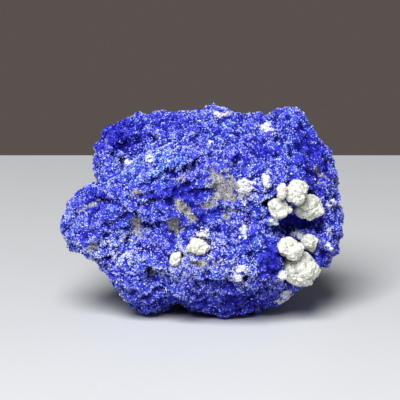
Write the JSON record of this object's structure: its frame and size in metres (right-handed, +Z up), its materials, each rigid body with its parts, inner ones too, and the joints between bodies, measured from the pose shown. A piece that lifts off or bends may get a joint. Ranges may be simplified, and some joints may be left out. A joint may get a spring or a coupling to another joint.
{
  "type": "azurite specimen",
  "caption": "Hand-sized lump of granular deep blue azurite with knobs of pale clay grown into its front, standing on its own worn base.",
  "frame": {"origin": "on the resting plane, under the middle of the specimen's box", "axes": "+X to the right along the longest side, +Y towards the back, +Z up; the clay knobs are on the -Y side"},
  "size_m": [0.0562, 0.04, 0.041],
  "materials": {
    "azurite": "granular crust of small glassy crystals, deep blue with pale grains",
    "clay": "matt, chalky, off-white"
  },
  "bodies": {
    "root": {"azurite_mass": "azurite", "clay_knob_lower_right": "clay", "clay_knob_ledge_left": "clay", "clay_knob_ledge_right": "clay", "clay_knob_cluster_top": "clay", "clay_knob_cluster_right": "clay", "clay_knob_cluster_left": "clay", "clay_knob_cluster_chip": "clay", "clay_knob_belly": "clay", "clay_knob_belly_chip": "clay"}
  },
  "joints": []
}
